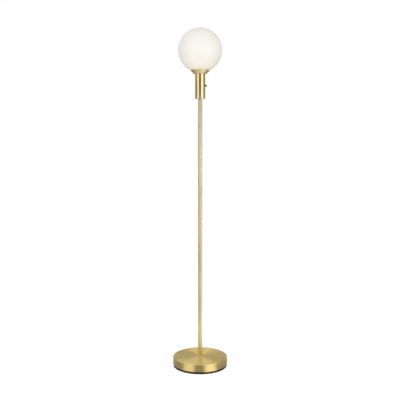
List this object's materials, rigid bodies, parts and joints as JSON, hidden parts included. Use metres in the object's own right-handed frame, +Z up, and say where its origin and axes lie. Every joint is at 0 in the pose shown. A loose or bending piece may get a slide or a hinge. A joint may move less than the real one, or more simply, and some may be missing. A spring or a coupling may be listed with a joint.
{
  "type": "floor lamp",
  "caption": "Floor lamp with a weighted round base, a slim straight pole, a switch housing with a turning knob, and an opal globe resting in a shallow cup.",
  "frame": {"origin": "middle of the base's footprint, on the floor", "axes": "+Z up along the pole, +X towards the switch knob, +Y towards the cord outlet at the back"},
  "size_m": [0.25, 0.2517, 1.5384],
  "materials": {
    "brushed_brass": "brushed in circles, lacquered",
    "satin_brass": "satin, drawn lengthwise",
    "polished_brass": "fine satin, nearly polished",
    "cup_brass": "fine satin, spun",
    "dark_brass": "darkened, turned",
    "insert_brass": "turned",
    "contact_brass": "bright",
    "cast_weight": "as cast, painted",
    "zinc_steel": "zinc plated",
    "spring_steel": "bright",
    "bulb_nickel": "bright",
    "black_plastic": "fine texture",
    "dark_plastic": "moulded",
    "white_plastic": "moulded",
    "white_ceramic": "glazed",
    "bulb_white": "moulded",
    "bulb_opal": "opal, frosted",
    "opal_glass": "opal, satin",
    "foot_rubber": "matt",
    "clear_silicone": "translucent",
    "brown_insulation": "smooth",
    "blue_insulation": "smooth"
  },
  "bodies": {
    "lamp": {"base_cover": "brushed_brass", "base_stud": "zinc_steel", "base_tray": "black_plastic", "base_weight": "cast_weight", "bulb_cap": "bulb_nickel", "bulb_collar": "bulb_white", "bulb_contact": "contact_brass", "bulb_dome": "bulb_opal", "centre_contact": "contact_brass", "clamp_screws": "zinc_steel", "contact_screws": "zinc_steel", "cord_clamp": "zinc_steel", "cord_grommet": "black_plastic", "foot_pads": "foot_rubber", "globe": "opal_glass", "globe_cup": "cup_brass", "globe_gasket": "clear_silicone", "globe_spring": "spring_steel", "holder_cap": "white_plastic", "holder_core": "white_ceramic", "holder_shell": "white_plastic", "housing": "polished_brass", "housing_lock_washer": "zinc_steel", "housing_nut": "zinc_steel", "housing_washer": "zinc_steel", "live_wire": "brown_insulation", "neutral_wire": "blue_insulation", "pole_lower_bottom_insert": "insert_brass", "pole_lower_top_insert": "insert_brass", "pole_lower_tube": "satin_brass", "pole_middle_bottom_insert": "insert_brass", "pole_middle_top_insert": "insert_brass", "pole_middle_tube": "satin_brass", "pole_nipple_1": "zinc_steel", "pole_nipple_2": "zinc_steel", "pole_upper_bottom_insert": "insert_brass", "pole_upper_top_insert": "insert_brass", "pole_upper_tube": "satin_brass", "screw_shell": "contact_brass", "shade_ring": "white_plastic", "stud_lock_washer": "zinc_steel", "stud_nut": "zinc_steel", "stud_washer": "zinc_steel", "switch_body": "dark_plastic", "switch_ring_nut": "dark_brass", "switched_wire": "brown_insulation", "terminal_block": "white_plastic", "terminal_fixing_screw": "zinc_steel", "terminal_screws": "zinc_steel", "top_nipple": "zinc_steel", "tray_screws": "zinc_steel"},
    "knob": {"knob_grub_screw": "zinc_steel", "switch_knob": "dark_brass", "switch_spindle": "zinc_steel"}
  },
  "joints": [
    {"name": "knob_turn", "type": "hinge", "parent": "lamp", "child": "knob", "pos_m": [0.02555, 0, 1.2835], "axis": [1, 0, 0], "continuous": true}
  ]
}
